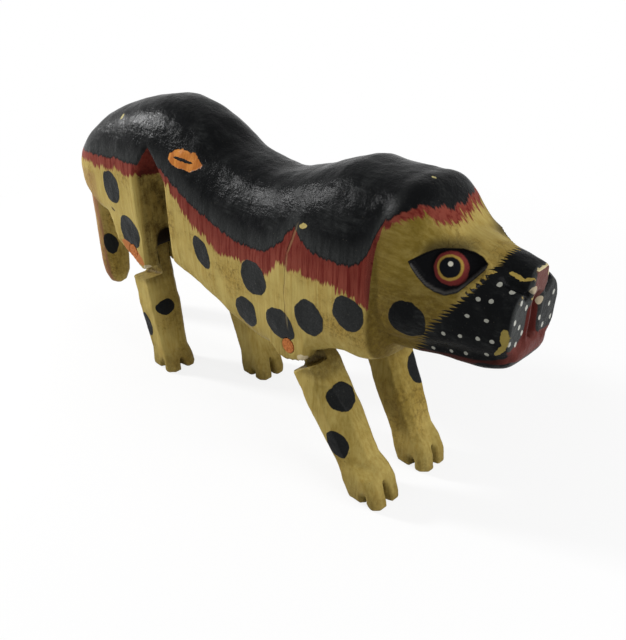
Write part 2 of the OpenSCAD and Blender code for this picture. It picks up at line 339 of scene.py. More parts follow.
places = points(block)
x, y, z = places.T
z -= THROAT_DROP * ease(z, *THROAT_HEIGHT) * ease(np.abs(x - THROAT_MIDDLE), *THROAT_REACH)
y += LEFT_PAD_SPREAD * ease(x, *LEFT_PAD_BACK) * ease(y, *LEFT_PAD_INNER) * ease(z, *LEFT_PAD_FOOT)
on_pads = ease(z, *PAD_FOOT) * ease(z, *PAD_TOP) * (np.abs(y) > GROOVE_HALF)
x -= np.maximum(x - PAD_FRONT, 0) * on_pads
x -= np.maximum(x - NOSE_FRONT, 0) * ease(z, *NOSE_FOOT)
proud = np.maximum(places @ PAD_SIDE - PAD_SIDE_SLICE, 0)
proud *= ease(x, *PAD_SIDE_BACK) * (y < PAD_SIDE_INNER) * ease(z, *PAD_SIDE_FOOT)
places -= proud[:, None] * PAD_SIDE
move_points(block, places)
outward = normals(block)
for side in (1, -1):
    dent = NOSTRIL_DEEP * ease(away_from_line(places * np.array([1, side, 1]), NOSTRIL), *NOSTRIL_WIDE)
    dent *= ease(x, *NOSTRIL_BACK) * (y * side < NOSTRIL_INNER)
    places -= dent[:, None] * outward
move_points(block, places)
print("sliced off the right pad:", round(float(proud.max()), 2), "mm")
print("deepest nostril cut:", NOSTRIL_DEEP, "mm")

# %% [markdown]
# ## Legs and tail
# The legs are separate sticks, lapped into the block. They are whittled with the same steps in a finer skin.
# Below the ledge a leg is a little fuller than the drawing, and its lap is a little thinner, so that it
# swings freely. A cleft parts the toes in front, and a notch at each side parts the outer ones. The front
# right leg has one corner sliced off.

# %% Whittle the legs and the tail
LIMBS = {"leg_" + leg: leg for leg in ("front_right", "front_left", "hind_right", "hind_left")}
LIMBS["tail"] = "block"
LIMB_CHIP = 0.75
LIMB_FULL = 0.8
FULL_BELOW = (50.0, 42.0)
LAP_PLAY = 0.35
LAP_ABOVE = (54.0, 58.0)
CORNER_SLICE = np.array([(71.5, -31.4, 59.0), (96.3, -29.3, 20.1), (93.6, -22.7, 39.4)])
SLICE_TOP = (60.0, 56.0)
SLICE_FOOT = (14.0, 22.0)
FOOT_TOP = 14
CLEFTS = {"leg_hind_right": (3.0, 9.0)}
USUAL_CLEFT = (5.5, 15.0)
CLEFT_WIDE = (2.6, 0.3)
CLEFT_FADE = 0.4
CLEFT_BACK = 12
CLEFT_FULL = 5
SIDE_NOTCH = 2.2
NOTCH_BACK = 9
NOTCH_WIDE = (2.4, 0.3)
NOTCH_HEIGHT = (9.0, 3.0)
NOTCH_SIDE = (2.0, 6.0)


def slice_corner(places):
    ledge, ankle, shin = CORNER_SLICE
    facing = np.cross(shin - ledge, ankle - ledge)
    facing /= np.linalg.norm(facing)
    facing *= np.sign(facing[0])
    proud = np.maximum((places - ledge) @ facing, 0)
    proud *= ease(places[:, 2], *SLICE_TOP) * ease(places[:, 2], *SLICE_FOOT)
    places -= proud[:, None] * facing


def part_toes(places, deep, high):
    x, y, z = places.T
    foot = z < FOOT_TOP
    front = x[foot].max()
    aside = y - (y[foot].min() + y[foot].max()) / 2
    cleft = ease(np.abs(aside), *CLEFT_WIDE) * ease(z, high, high * CLEFT_FADE)
    x -= deep * cleft * ease(x, front - CLEFT_BACK, front - CLEFT_FULL)
    notch = ease(np.abs(x - front + NOTCH_BACK), *NOTCH_WIDE) * ease(z, *NOTCH_HEIGHT)
    y -= SIDE_NOTCH * notch * np.sign(aside) * ease(np.abs(aside), *NOTCH_SIDE)


limbs = {}
for node in LIMBS:
    limbs[node] = copy_of(node, "carved_" + node)
    whittle(limbs[node], LIMB_CHIP)
    knife_marks(limbs[node], size=7.0, deep=0.45, shave=0.9)
    if node == "tail":
        continue
    places = points(limbs[node])
    outward = normals(limbs[node]) * np.array([1, 1, 0])
    fuller = LIMB_FULL * ease(places[:, 2], *FULL_BELOW) - LAP_PLAY * ease(places[:, 2], *LAP_ABOVE)
    places += outward * fuller[:, None]
    if node == "leg_front_right":
        slice_corner(places)
    part_toes(places, *CLEFTS.get(node, USUAL_CLEFT))
    move_points(limbs[node], places)

# %% [markdown]
# ## Which piece moves with what
# The block carries the head and the tail. Each leg turns on its own dowel, so its carved skin rides on that
# leg's body. The skin stands for the plain solid, which is hidden but still used for collisions.

# %% Put the pieces on their bodies
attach(block, "block")
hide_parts("body")
for node, body in LIMBS.items():
    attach(limbs[node], body)
    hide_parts(node)
    print(limbs[node].name, "rides on", body)
carved = [block, *limbs.values()]
for piece in carved:
    pick(piece)
    bpy.ops.object.shade_smooth()

# %% [markdown]
# ## Dirt and painted shade
# The V cuts ahead of the thighs were never wiped clean, and their darkening also stands for the shade that
# falls into them, as painted shade. The belly darkens towards its underside, as painted shade. A point lies
# in a cut as deep as it is sunk below the skin on both sides of the cut. That depth and the darkening are
# kept for the paint.

# %% Find the cuts, their dirt and the painted shade
CUTS = [(-1, -72.0, -40.0, 153.0), (1, -30.5, 1.5, 138.0)]
CUT_DEEP = (30.3, 26.0)
DIRT_AND_SHADE_TOP = (152.0, 146.0)
BESIDE = 6
LEVEL = 2
SUNK = (0.4, 1.2)
UNDERSIDE = (74.0, 62.0)
UNDERSIDE_SHADE_SHARE = 0.35
x, y, z = points(block).T
# painted shade: darker towards the belly's underside
dirt_and_shade = ease(z, *UNDERSIDE) * UNDERSIDE_SHADE_SHARE
cut = np.zeros(len(z))
for side, back, front, top in CUTS:
    outside = y * side
    inside = ease(x, back - 1, back + 2) * ease(x, front + 1, front - 4)
    deep = ease(outside, *CUT_DEEP) * (outside > 5)
    # dirt in the cuts, which also stands for the shade that falls into them, as painted shade
    dirt_and_shade = np.maximum(dirt_and_shade, inside * deep * ease(z, *DIRT_AND_SHADE_TOP))
    skin = []
    for edge_x in (back - BESIDE, front + BESIDE):
        beside = (np.abs(x - edge_x) < 3) & (outside > 4)
        levels = np.round(z[beside] / LEVEL).astype(int)
        widest = [(LEVEL * level, outside[beside][levels == level].max()) for level in np.unique(levels)]
        skin.append(np.interp(z, *zip(*widest)))
    t = np.clip((x - back + BESIDE) / (front - back + 2 * BESIDE), 0, 1)
    sunk = (1 - t) * skin[0] + t * skin[1] - outside
    cut = np.maximum(cut, inside * ease(sunk, *SUNK) * (outside > 3) * (z < top))
print("points in the cuts:", int((cut > 0.5).sum()))

# %% [markdown]
# ## Feeling for hollows and edges
# Dirt settles in hollows, and paint wears off along edges. Both are measured once on the finished wood:
# a point whose neighbours stand out above it lies in a hollow, and one whose neighbours drop away lies on
# an edge. The values are stored on the points, where a material can read them.

# %% Measure hollows and edges
EDGE_BEND = (0.12, 0.5)
HOLLOW_BEND = (0.04, 0.35)
BROAD_BEND = (0.02, 0.15)
BEND_ROUNDS = 2
BROAD_ROUNDS = 14


def store(piece, name, values):
    layer = piece.data.attributes.new(name, "FLOAT", "POINT")
    layer.data.foreach_set("value", np.asarray(values, np.float32))


def feel(piece):
    mesh = piece.data
    pairs = np.zeros(len(mesh.edges) * 2, int)
    mesh.edges.foreach_get("vertices", pairs)
    first, second = pairs.reshape(-1, 2).T
    count = np.bincount(pairs, minlength=len(mesh.vertices))[:, None]
    out = normals(piece)
    at = points(piece)

    def around(values):
        total = np.zeros_like(values)
        np.add.at(total, first, values[second])
        np.add.at(total, second, values[first])
        return total / count

    span = np.linalg.norm(at[first] - at[second], axis=1)
    size = np.zeros(len(at))
    np.add.at(size, first, span)
    np.add.at(size, second, span)
    size /= count[:, 0]
    bend = (((around(at) - at) * out).sum(1) * 2 / size**2)[:, None]
    for _ in range(BEND_ROUNDS):
        bend = around(bend)
    broad = bend
    for _ in range(BROAD_ROUNDS):
        broad = around(broad)
    edge = ease(-bend[:, 0], *EDGE_BEND)
    store(piece, "edge", edge)
    store(piece, "hollow", np.maximum(ease(bend[:, 0], *HOLLOW_BEND), ease(broad[:, 0], *BROAD_BEND)))
    print(piece.name, "has", int((edge > 0.5).sum()), "points on edges")


for piece in carved:
    feel(piece)
kept_for_paint = {"almond": almond, "lid_shadow": lid_shadow, "lid_highlight": lid_highlight, "dirt_and_shade": dirt_and_shade, "cut": cut}
for name, values in kept_for_paint.items():
    store(block, name, values)

# %% [markdown]
# ## Mixing paints with nodes
# A material is a small machine of nodes. These helpers add one node and plug in its inputs in order, so the
# steps below read like a recipe: where a shape is, how soft its edge is, and which paint goes on top. A mask
# rises softly from 0 to 1 between two values. A ramp turns one range of values into another.

# %% Node helpers


class Bench:
    """Holds the tree of nodes that is being worked on. Every helper adds its nodes there."""

    tree = None


def paint(red, green, blue):
    def linear(value):
        value /= 255
        return value / 12.92 if value <= 0.04045 else ((value + 0.055) / 1.055) ** 2.4

    return (linear(red), linear(green), linear(blue), 1.0)


def plug(feed, socket):
    if isinstance(feed, bpy.types.NodeSocket):
        Bench.tree.links.new(feed, socket)
    elif feed is not None:
        socket.default_value = feed


def plug_named(made, **feeds):
    for name, feed in feeds.items():
        plug(feed, made.inputs[name])


def add(kind, *feeds, **settings):
    made = Bench.tree.nodes.new("ShaderNode" + kind)
    for key, value in settings.items():
        setattr(made, key, value)
    for socket, feed in zip(made.inputs, feeds):
        plug(feed, socket)
    return made


def calc(operation, *feeds):
    return add("Math", *feeds, operation=operation).outputs[0]


def times(first, second):
    return calc("MULTIPLY", first, second)


def times_plus(value, factor, start):
    return calc("MULTIPLY_ADD", value, factor, start)


def minus(first, second):
    return calc("SUBTRACT", first, second)


def most(best, *others):
    for other in others:
        best = calc("MAXIMUM", best, other)
    return best


def least(best, *others):
    for other in others:
        best = calc("MINIMUM", best, other)
    return best


def vector(operation, *feeds):
    made = add("VectorMath", *feeds, operation=operation)
    return made.outputs[1] if operation in ("LENGTH", "DISTANCE") else made.outputs[0]


def even(value):
    return (value, value, value)


def noise_node(place, stretch, detail, rough):
    made = add("TexNoise")
    spread = vector("MULTIPLY", place, stretch)
    plug_named(made, Vector=spread, Scale=1.0, Detail=detail, Roughness=rough)
    return made


def noise(place, stretch, detail=2.0, rough=0.55):
    return noise_node(place, stretch, detail, rough).outputs[0]


def mask(field, low, high):
    return add("MapRange", field, low, high, 0.0, 1.0, interpolation_type="SMOOTHSTEP").outputs[0]


def ramp(field, low, high, start, end):
    return add("MapRange", field, low, high, start, end).outputs[0]


def coat(where, under, over):
    made = add("Mix", data_type="RGBA")
    for index, feed in ((0, where), (6, under), (7, over)):
        plug(feed, made.inputs[index])
    return made.outputs[2]


def either(where, first, second):
    """The first value where the mask is 0 and the second where it is 1."""
    return add("Mix", where, None, first, second).outputs[0]


def curve(value, line, span, height):
    """A drawn line: gives its height at a value, both in millimetres."""
    low, high = span
    made = add("FloatCurve", 1.0, ramp(value, low, high, 0.0, 1.0))
    knots = made.mapping.curves[0].points
    spots = [((a - low) / (high - low), b / height) for a, b in line]
    for knot, spot in zip(knots, (spots[0], spots[-1])):
        knot.location = spot
    for spot in spots[1:-1]:
        knots.new(*spot)
    for knot in knots:
        knot.handle_type = "AUTO_CLAMPED"
    made.mapping.update()
    return times(made.outputs[0], height)


def attribute(name):
    return add("Attribute", attribute_type="GEOMETRY", attribute_name=name).outputs["Fac"]


def count_nodes(name):
    print(name, "has", len(Bench.tree.nodes), "nodes")


def use(group, *feeds):
    return add("Group", *feeds, node_tree=group).outputs


# %% [markdown]
# ## Spots, dots and chips
# Every spot is an ellipse that was filled in by hand. A Mapping node puts a unit ball at the spot's place,
# with its size and tilt, and the distance from the ball's middle tells how far inside the spot a point is.
# A little noise on the place makes the outline wander as a brush does. A long thin ellipse makes a crack.

# %% Helpers for spots
FLANK_THICK = 8.0
OVERLAP = 1.12


def spotted(place, spots, rim):
    """1 inside any of several ellipses, 0 outside. The rim is a span of distances: 1 is on an outline."""
    aways = []
    for middle, radii, tilt in spots:
        turn = (0, math.radians(tilt), 0)
        mapped = add("Mapping", place, middle, turn, radii, vector_type="TEXTURE")
        aways.append(vector("LENGTH", mapped.outputs[0]))
    return mask(least(*aways), *rim)


def wobble(place, reach, scale):
    shake = noise_node(place, even(scale), 3.0, 0.55).outputs[1]
    centred = vector("SUBTRACT", shake, even(0.5))
    return vector("ADD", place, vector("MULTIPLY", centred, even(reach)))


def runs(line, y, thick):
    """Thin ellipses along a drawn line on the flank, one for each straight run."""
    thin = []
    for (x1, z1), (x2, z2) in zip(line[:-1], line[1:]):
        half = math.hypot(x2 - x1, z2 - z1) / 2
        turn = math.degrees(math.atan2(x2 - x1, z2 - z1))
        thin.append((((x1 + x2) / 2, y, (z1 + z2) / 2), (thick, FLANK_THICK, half * OVERLAP), turn))
    return thin


# %% [markdown]
# ## Three old paints
# The yellow was brushed on thinly and has gone ochre and brown where hands and dirt reached it. The red is
# streaky and chalky. The black is a harder enamel with fine scratches, pale pin pricks and grey rubbed
# places. Each is a group, because the block, the legs and the tail share them. Its age input says how much
# of the paint's own way of ageing shows: ochre on yellow, darkness on red, dust on black. On the block that
# input also carries painted light: painted shade low on the flanks and in the cuts, and a painted sheen that
# greys the black. The input that darkens the paint holds dirt, and on the block painted shade as well.

# %% What goes into a paint and what comes out
PAINT_SOCKETS = {
    "INPUT": {"Place": "Vector", "Grain": "Vector", "Hollow": "Float", "Age": "Float"},
    "OUTPUT": {"Color": "Color", "Roughness": "Float", "Height": "Float"},
}


def start_paint(name):
    Bench.tree = tree = bpy.data.node_groups.new(name, "ShaderNodeTree")
    for side, sockets in PAINT_SOCKETS.items():
        for label, kind in sockets.items():
            tree.interface.new_socket(label, in_out=side, socket_type="NodeSocket" + kind)
    return tree, tree.nodes.new("NodeGroupInput").outputs, tree.nodes.new("NodeGroupOutput")


def crazing(place, size):
    """Fine shrinkage cracks: the borders between the cells of a wobbly honeycomb."""
    spread = vector("SCALE", wobble(place, size * 0.6, 0.5 / size), None, None, 1 / size)
    made = add("TexVoronoi", feature="DISTANCE_TO_EDGE")
    plug_named(made, Vector=spread, Scale=1.0)
    return mask(made.outputs["Distance"], 0.04, 0.0)


# %% Aged yellow
YELLOW = paint(166, 148, 86)
OCHRE = paint(138, 112, 50)
DEEP_OCHRE = paint(104, 87, 32)
BROWN = paint(58, 42, 18)
MOST_DIRT = 0.92
CRAZING = 4.5
aged_yellow, given, result = start_paint("aged_yellow")
at = given["Place"]
streak = noise(at, given["Grain"], 5.0, 0.66)
cloud = noise(at, even(0.035), 4.0, 0.6)
speck = noise(at, even(0.5), 4.0, 0.75)
colour = coat(ramp(streak, 0.4, 0.68, 0.0, 0.6), YELLOW, OCHRE)
colour = coat(ramp(cloud, 0.46, 0.68, 0.0, 0.6), colour, OCHRE)
# deeper ochre with age, and on the block painted shade low on the flanks
colour = coat(times(given["Age"], ramp(streak, 0.35, 0.6, 0.7, 1.0)), colour, DEEP_OCHRE)
cracked = times(crazing(at, CRAZING), mask(cloud, 0.5, 0.62))
# dirt, and on the block painted shade as well
darkened = times(given["Hollow"], ramp(speck, 0.3, 0.62, 0.35, 1.0))
smudge = times(mask(cloud, 0.45, 0.68), mask(speck, 0.44, 0.66))
specks = mask(speck, 0.64, 0.73)
darkening = most(darkened, times(smudge, 0.55), times(specks, 0.6), times(cracked, 0.28))
colour = coat(least(darkening, MOST_DIRT), colour, BROWN)
high = times_plus(cracked, -0.5, times_plus(speck, 0.5, streak))
plug_named(result, Color=colour, Roughness=ramp(cloud, 0.3, 0.7, 0.42, 0.6), Height=high)
count_nodes("aged_yellow")

# %% Brushed red
RED = paint(116, 55, 44)
DEEP_RED = paint(86, 25, 20)
DARKENED_RED = paint(50, 20, 16)
brushed_red, given, result = start_paint("brushed_red")
streak = noise(given["Place"], given["Grain"], 4.0, 0.66)
colour = coat(mask(streak, 0.42, 0.7), RED, DEEP_RED)
colour = coat(given["Age"], colour, DEEP_RED)
# dirt, and on the block painted shade as well
colour = coat(times(given["Hollow"], 0.75), colour, DARKENED_RED)
plug_named(result, Color=colour, Roughness=ramp(streak, 0.3, 0.7, 0.42, 0.58), Height=streak)
count_nodes("brushed_red")

# %% Scuffed black
BLACK = paint(13, 14, 15)
DUST_AND_SHEEN_GREY = paint(76, 78, 77)
PRICK = paint(112, 106, 90)
scuffed_black, given, result = start_paint("scuffed_black")
at = given["Place"]
cloud = noise(at, even(0.06), 5.0, 0.65)
scratch = noise(at, (0.08, 0.9, 0.9), 5.0, 0.7)
fine = noise(at, even(1.1), 3.0, 0.7)
lumps = noise(at, even(0.2), 3.0, 0.6)
rub = times(mask(cloud, 0.46, 0.72), ramp(scratch, 0.38, 0.68, 0.0, 0.32))
# on the block the age input also carries a painted sheen, so this grey is dust and painted sheen
dust_and_sheen = times(given["Age"], ramp(fine, 0.3, 0.7, 0.45, 1.0))
colour = coat(most(rub, dust_and_sheen), BLACK, DUST_AND_SHEEN_GREY)
prick = times(mask(fine, 0.68, 0.74), 0.45)
colour = coat(prick, colour, PRICK)
rough = times_plus(given["Age"], 0.12, ramp(cloud, 0.35, 0.7, 0.2, 0.36))
high = times_plus(fine, 0.4, times_plus(scratch, 0.6, times(lumps, 1.9)))
plug_named(result, Color=colour, Roughness=rough, Height=high)
count_nodes("scuffed_black")

# %% [markdown]
# ## Starting and finishing a material
# Every material reads the object's own coordinates, turned into the sketch's millimetres. The old paints
# have hardly any shine of their own, so the shader's specular level is low and the roughness does the rest.

# %% Helpers for a whole material
PAINT_SHINE = 0.029
BUMP_DEPTH = 0.5


def start_material(name):
    material = bpy.data.materials.new(name)
    material.use_nodes = True
    Bench.tree = material.node_tree
    scaled = vector("MULTIPLY", add("TexCoord").outputs["Object"], even(1 / MM))
    return material, vector("SUBTRACT", scaled, tuple(SKETCH_ZERO))


def finish_material(colour, rough, height, strength):
    shader = Bench.tree.nodes["Principled BSDF"]
    plug(PAINT_SHINE, shader.inputs["Specular IOR Level"])
    plug(colour, shader.inputs["Base Color"])
    bump = add("Bump")
    plug_named(bump, Strength=strength, Distance=BUMP_DEPTH * MM, Height=height)
    plug_named(shader, Roughness=rough, Normal=bump.outputs[0])


def worn_edges(place, edge, low, high):
    """Where paint has rubbed off: along edges, but only in patches."""
    patches = mask(noise(place, even(0.25), 5.0, 0.7), low, high)
    return times(mask(edge, 0.5, 0.95), patches)


# %% [markdown]
# ## The painted block
# The back is black, with a band of red brushed out from under it and yellow below. The lines between them
# are drawn as curves along the block, one for each side, because the thighs sit at different places. The
# lines of the muzzle, lips and groove are drawn in the same way.

# %% Lines between the paints
SIDE_SPAN = (-180.0, 180.0)
FRONT_SPAN = (100.0, 146.0)
MUZZLE_SPAN = (80.0, 160.0)
LIP_SPAN = (100.0, 180.0)
LINE_TOP = 200
GROOVE_TOP = 100
BACK_TAIL = [(-180, 124), (-150, 128), (-132, 130.5), (-105, 132.5)]
BACK_HEAD = [(97, 128.6), (103, 134), (105.5, 141), (107, 146.5), (110.4, 151.5), (114, 154), (118, 155.5),
             (126, 155), (180, 150)]
BACK_RIGHT = [
    *BACK_TAIL, (-82, 135), (-68, 135.5), (-60, 136.5), (-50, 138), (-44, 137.5), (-39, 134.5),
    (-28, 128.5), (-18, 124), (2, 118), (20, 115), (40.5, 117.4), (53, 126), (59.6, 134), (66, 129.4),
    (82, 126.5), *BACK_HEAD,
]
BACK_LEFT = [
    *BACK_TAIL, (-58, 134.5), (-28, 135.5), (-19, 136.5), (-9, 138), (-3, 137.5), (2, 134.5), (12, 127),
    (24, 120), (42, 117.4), (57, 120), (68, 127), (74.6, 134), (81, 129.4), (90, 127), *BACK_HEAD,
]
BAND_TAIL = [(-180, 119), (-150, 122.5), (-127, 125), (-106, 125.5)]
BAND_HEAD = [(96.5, 114.3), (101, 112), (104.5, 109), (107, 139), (108.7, 146), (112, 150), (118, 151.5),
             (126, 151), (180, 148)]
BAND_RIGHT = [
    *BAND_TAIL, (-83, 128), (-70, 128), (-60, 129.5), (-50, 131), (-42.6, 131), (-32.7, 124.8),
    (-22.3, 115.7), (-9, 109.3), (5.8, 104.4), (24.8, 106.5), (40.4, 105.3), (53.9, 114), (66.7, 113.6),
    (82, 115), *BAND_HEAD,
]
BAND_LEFT = [
    *BAND_TAIL, (-58, 127), (-29, 128), (-18, 129.5), (-8, 131), (-1, 131), (8, 123), (18, 114), (32, 107),
    (52, 106), (66, 113), (82, 115), *BAND_HEAD,
]
MUZZLE_EDGE = [(80, 116), (90, 122), (98.8, 127), (111.8, 133.6), (119.8, 139.6), (128.2, 145.9),
               (135.5, 149.8), (140.3, 152.4), (144.5, 153.6), (160, 158)]
LIP_LINE = [(100, 92), (120, 94), (130, 96), (141, 98.6), (150, 100.3), (154, 101.3), (158, 102.5),
            (161.3, 104), (164.4, 105.8), (165.4, 108), (166.2, 110.4), (180, 111)]
CHIN_LINE = [(100, 70), (140, 92), (150, 97), (154.2, 100.0), (161.5, 101.8), (164.5, 103.0), (167.2, 104.8),
             (170, 105), (180, 105)]
GROOVE_RIGHT = [(100, 20), (107, 18), (109, 16), (110.5, 13.5), (111.7, 10.5), (113.5, 8), (115.5, 6.8),
                (119.5, 6.2), (124, 6.1), (127, 5.4), (129, 4.2), (133, 4.4), (138, 4.3), (146, 4.0)]
GROOVE_LEFT = [(100, 20), (108, 18), (109.5, 13), (110.2, 9.9), (110.8, 6), (112, 3.8), (116, 3.3),
               (122, 2.9), (126.7, 2.5), (129.5, 3.3), (133, 4.4), (138, 5.3), (146, 5.3)]
print("knots in the right side's lines:", len(BACK_RIGHT), "and", len(BAND_RIGHT))

# %% [markdown]
# ## Where the spots and dots sit
# A spot has a place, half width, half height and tilt. The left side has the same spots, moved to suit its
# thigh and shoulder.

# %% Spots and dots of the block
SIDE_SPOTS = [
    (-96.3, 115.6, 9.1, 10.1, 0), (-110.3, 88.2, 5.0, 8.8, -30), (-83.4, 90.2, 10.5, 10.5, 0),
    (-12.2, 99.7, 6.2, 9.7, -35), (31.5, 99.8, 9.9, 9.2, 0), (23.7, 77.1, 8.5, 8.7, 0),
    (50.7, 81.5, 10.2, 8.8, 0), (71.1, 93.2, 9.4, 9.4, 0), (95.1, 104.8, 8.6, 8.7, 0),
    (124.1, 111.1, 9.0, 9.6, 0),
]
LEFT_SHIFT = {0: (14, 1), 1: (10, -3), 2: (36, 3), 3: (26, -2), 4: (8, 2), 5: (-4, 2), 6: (4, 6), 7: (7, 3),
              8: (-2, -2)}
FLANK = 29.0
SPOT_THICK = 12.0
spots = [((x, -FLANK, z), (rx, SPOT_THICK, rz), tilt) for x, z, rx, rz, tilt in SIDE_SPOTS]
for index, (x, z, rx, rz, tilt) in enumerate(SIDE_SPOTS):
    forward, rise = LEFT_SHIFT.get(index, (0, 0))
    spots.append(((x + forward, FLANK, z + rise), (rz, SPOT_THICK, rx), -tilt))
SIDE_DOTS = [
    (157.0, 13.9, 135.8), (162.0, 12.7, 134.0), (151.8, 19.2, 129.5), (156.6, 17.8, 129.8),
    (148.5, 20.3, 121.2), (156.2, 18.6, 121.5), (139.5, 21.8, 109.9), (146.6, 20.5, 111.3),
    (153.6, 19.1, 112.4), (159.3, 17.9, 113.0), (132.8, 18.6, 98.3), (141.2, 18.0, 100.2),
    (147.9, 16.8, 102.1), (157.0, 15.9, 105.4),
]
FRONT_DOTS = [
    (-11.8, 130.2), (-7.3, 126.5), (-14.5, 122.7), (-10.5, 119.2), (-7.7, 115.6), (-16.0, 113.7),
    (-11.2, 111.8), (7.0, 133.0), (14.0, 125.6), (11.8, 121.2), (4.9, 117.6), (15.0, 114.0), (9.1, 112.5),
]
side_dots = [((x, -y, z), (1.0, 2.4, 0.88), 0) for x, y, z in SIDE_DOTS]
front_dots = [((166.0, y, z), (2.4, 0.85, 1.25), 0) for y, z in FRONT_DOTS]
BIG_DOTS = [((166.8, -4.6, 133.2), (2.4, 2.0, 1.8), 0), ((166.0, 3.2, 125.9), (2.4, 1.7, 1.9), 0)]
print("spots:", len(spots), "dots:", 2 * len(side_dots) + len(front_dots) + len(BIG_DOTS))

# %% [markdown]
# ## Back, band and flanks
# How far a point lies inside the black or the red is a depth in millimetres. The brush fringe is noise that
# is stretched along the stroke and added to that depth. Dirt and age then say how each paint looks there,
# with painted light mixed in: painted shade on the face's cheek and back rim and low on the belly, and a
# painted sheen that greys the black.

# %% Paint the back, the band and the flanks
BROW_RIM = (110.0, 116.0)
FACE_RIM = (103.0, 106.0)
BROW_FRONT = 127.8
BROW_BEND = -0.0205
BROW_BAND = 3.7
material, place = start_material("painted_block")
x, y, z = add("SeparateXYZ", place).outputs
across = calc("ABSOLUTE", y)
folded = add("CombineXYZ", x, times(across, -1.0), z).outputs[0]
left = mask(y, -2.0, 2.0)
on_head = mask(x, *BROW_RIM)
on_face = mask(x, *FACE_RIM)
off_head = minus(1.0, on_head)
off_face = minus(1.0, on_face)


def fringe(flank_stretch, brow_stretch):
    """Brush hairs: they run down the flanks and forward over the brow."""
    flank = noise(place, flank_stretch, 3.0, 0.6)
    over_brow = noise(place, brow_stretch, 3.0, 0.6)
    return minus(either(on_head, flank, over_brow), 0.5)


def side_line(right_line, left_line):
    """Height above a line that is drawn once for each side."""
    lines = [curve(x, line, SIDE_SPAN, LINE_TOP) for line in (right_line, left_line)]
    return minus(z, either(left, *lines))


hairs = fringe((0.9, 0.45, 0.035), (0.05, 0.75, 0.14))
tufts = fringe((0.26, 0.13, 0.012), (0.015, 0.2, 0.03))
drift = minus(noise(place, even(0.06)), 0.5)
brow = minus(times_plus(times(y, y), BROW_BEND, BROW_FRONT), x)
black_depth = least(side_line(BACK_RIGHT, BACK_LEFT), brow)
black_depth = times_plus(hairs, 3.6, times_plus(tufts, 5.0, black_depth))
red_depth = least(side_line(BAND_RIGHT, BAND_LEFT), calc("ADD", brow, BROW_BAND))
red_depth = times_plus(hairs, 11.0, times_plus(tufts, 9.0, red_depth))
red_depth = times_plus(drift, 4.0, red_depth)

cut_stain = ramp(noise(place, (0.12, 0.12, 0.09), 4.0, 0.65), 0.38, 0.62, 0.3, 0.95)
# patches of dirt in the cuts, and painted shade in the cuts and under the belly
patchy_dirt_and_shade = times(attribute("dirt_and_shade"), cut_stain)
# painted shade: the face darkens towards the cheek, as shade under the jaw, and towards its back rim, as
# shade under the overhanging neck
cheek_shade = times(on_face, mask(z, 140.0, 116.0))
rim_shade = times(on_face, mask(x, 122.0, 106.0))
# darkening: dirt in hollows and cuts, together with painted shade on the face and belly
darkening = most(times(attribute("hollow"), 0.8), patchy_dirt_and_shade, times(cheek_shade, 0.6), times(rim_shade, 0.5))
face_age = times(on_face, mask(across, 9.0, 20.0))
# painted shade: the yellow turns deeper ochre low down on the flanks
low_shade = mask(z, 90.0, 66.0)
yellow_age_and_shade = most(times(face_age, 0.95), times(low_shade, 0.35))
red_age_and_shade = most(times(mask(red_depth, 3.0, 12.0), 0.45), patchy_dirt_and_shade)
# dust and painted sheen: the black turns grey a little above the red band, where it turns up to the light
dust_and_sheen_above_band = times(mask(black_depth, 13.0, 2.0), mask(black_depth, 0.0, 1.5))
dust_and_sheen_above_band = times(dust_and_sheen_above_band, ramp(hairs, -0.16, 0.16, 0.2, 0.45))
# dust and painted sheen: the pads' front faces go grey, the right one more, as the side facing the light
pad_dust_and_sheen = times(mask(x, 164.6, 165.6), ramp(y, -4.0, 4.0, 0.65, 0.25))
# dust and painted sheen: black spots off the face are a little greyer
spot_dust_and_sheen = times(mask(black_depth, -2.0, -6.0), off_face)
black_dust_and_sheen = most(times(dust_and_sheen_above_band, off_head), pad_dust_and_sheen, times(spot_dust_and_sheen, 0.3))

grain_x = either(on_face, 0.6, 0.06)
grain_z = either(on_face, 0.035, 0.4)
grain = add("CombineXYZ", grain_x, 0.6, grain_z).outputs[0]
yellow, yellow_rough, yellow_high = use(aged_yellow, place, grain, darkening, yellow_age_and_shade)
red, red_rough, red_high = use(brushed_red, place, grain, darkening, red_age_and_shade)
black, black_rough, black_high = use(scuffed_black, place, grain, darkening, black_dust_and_sheen)
in_red = mask(red_depth, -0.7, 0.7)
in_back = times(mask(black_depth, -0.5, 0.5), mask(attribute("cut"), 0.6, 0.4))
colour = coat(in_red, yellow, red)
count_nodes("unfinished block material")

# %% [markdown]
# ## Muzzle and spots
# The muzzle is black, and its edge is a row of short brush strokes. A triangle wave along the edge gives the
# strokes, and noise makes some longer than others.

# %% Paint the muzzle and the spots
STROKE = 0.85
SPOT_EDGE = (1.03, 0.97)
teeth_along = times_plus(x, -0.11, z)
teeth_along = times_plus(times(y, mask(z, 139.5, 141.5)), 0.9, teeth_along)
jitter = noise(place, (0.12, 0.4, 0.4), 1.0)
uneven = noise(place, (0.02, 0.5, 0.5), 1.0)
teeth = calc("PINGPONG", times_plus(jitter, 1.6, teeth_along), STROKE)
tooth_length = ramp(z, 100.0, 140.0, 6.0, 3.6)
tooth_length = times(tooth_length, ramp(uneven, 0.3, 0.7, 0.35, 1.5))
muzzle = minus(x, curve(z, MUZZLE_EDGE, MUZZLE_SPAN, LINE_TOP))
muzzle = times_plus(minus(teeth, 0.5), tooth_length, muzzle)
in_muzzle = mask(muzzle, -0.4, 0.4)
in_spot = spotted(wobble(place, 3.0, 0.12), spots, SPOT_EDGE)
in_black = most(in_back, in_muzzle, in_spot)
colour = coat(in_black, colour, black)

